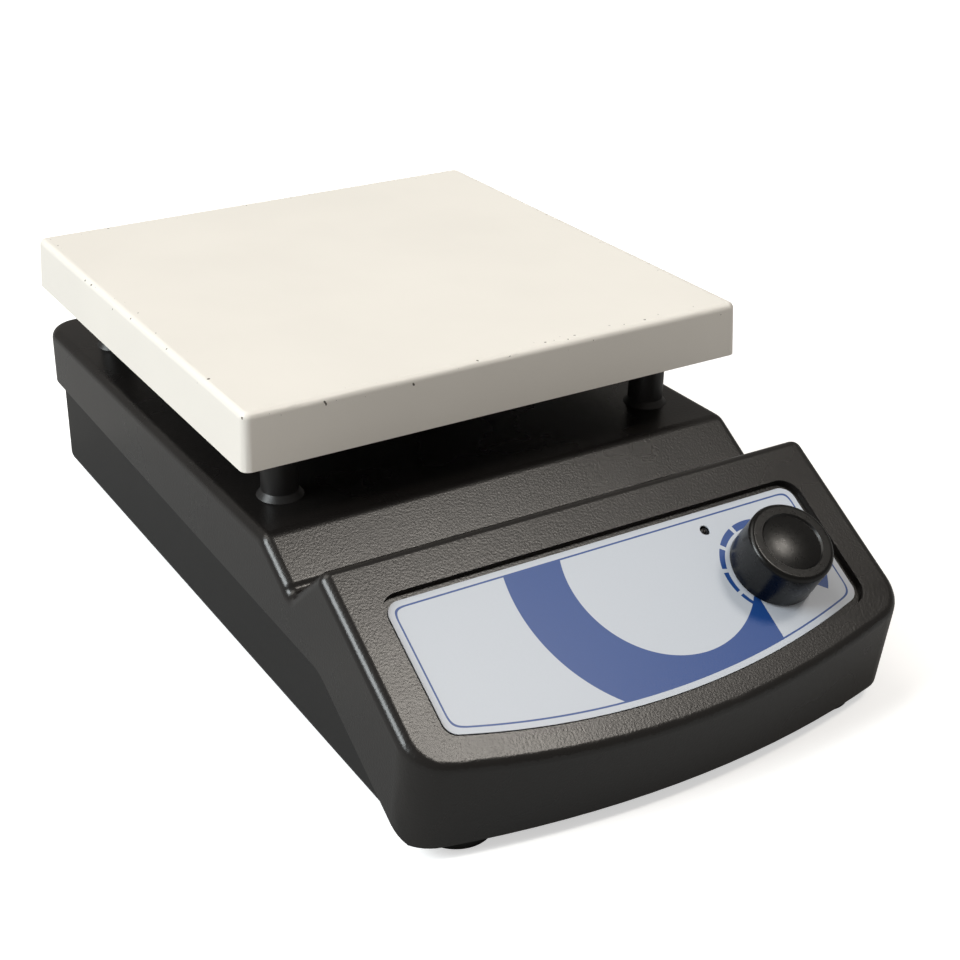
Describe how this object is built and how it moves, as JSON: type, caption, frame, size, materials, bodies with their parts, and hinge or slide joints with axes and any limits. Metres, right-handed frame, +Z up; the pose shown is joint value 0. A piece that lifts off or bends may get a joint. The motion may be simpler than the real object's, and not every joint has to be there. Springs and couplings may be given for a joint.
{
  "type": "laboratory hot plate",
  "caption": "Square coated heating plate raised on pillars over a low housing with a sloping front panel, a turning heat control and a lamp.",
  "frame": {"origin": "centre of the footprint on the surface that the feet stand on", "axes": "+Z up, the control panel faces -Y, +X to the right of someone facing the panel"},
  "size_m": [0.182, 0.2984, 0.1],
  "materials": {
    "plate": "white heat-proof coating on a cast aluminium pan",
    "steel": "plain steel",
    "fibre": "mineral fibre board",
    "screw": "zinc plated",
    "housing": "satin near-black paint on cast aluminium",
    "base": "satin moulded base",
    "label": "printed film, pale with a blue band",
    "knob": "satin black",
    "spindle": "turned",
    "pot": "pressed can",
    "lamp": "unlit indicator",
    "black": "moulded",
    "board": "solder mask",
    "nylon": "natural",
    "alloy": "extruded",
    "copper": "enamelled winding",
    "inlet": "moulded",
    "brass": "flat pins",
    "pillar": "blackened steel",
    "foot": "moulded rubber",
    "ceramic": "steatite"
  },
  "bodies": {
    "housing": {"heating_plate": "plate", "heating_element": "steel", "insulation_pad": "fibre", "heat_shield": "steel", "pillar_screws": "screw", "top_cover": "housing", "base_shell": "base", "case_screws": "screw", "foot_screws": "screw", "control_label": "label", "potentiometer": "pot", "pot_washer": "steel", "pot_nut": "steel", "indicator_lamp": "lamp", "lamp_holder": "black", "control_board": "board", "board_spacers": "nylon", "board_screws": "screw", "triac_heatsink": "alloy", "power_triac": "black", "filter_capacitor": "nylon", "filter_choke": "copper", "terminal_block": "nylon", "thermal_cutout": "steel", "mains_inlet": "inlet", "inlet_pins": "brass", "fuse_drawer": "inlet", "inlet_screws": "screw", "inlet_nuts": "screw", "pillar_front_left": "pillar", "pillar_rear_left": "pillar", "pillar_front_right": "pillar", "pillar_rear_right": "pillar", "foot_front_left": "foot", "foot_rear_left": "foot", "foot_front_right": "foot", "foot_rear_right": "foot", "leg_bush_left": "ceramic", "leg_bush_right": "ceramic"},
    "control": {"knob": "knob", "grub_screw": "screw", "control_spindle": "spindle"}
  },
  "joints": [
    {"name": "heat_control", "type": "hinge", "parent": "housing", "child": "control", "pos_m": [0.0498, -0.11811, 0.04727], "axis": [0, 0.5195, -0.8545], "range_deg": [0, 270]}
  ]
}
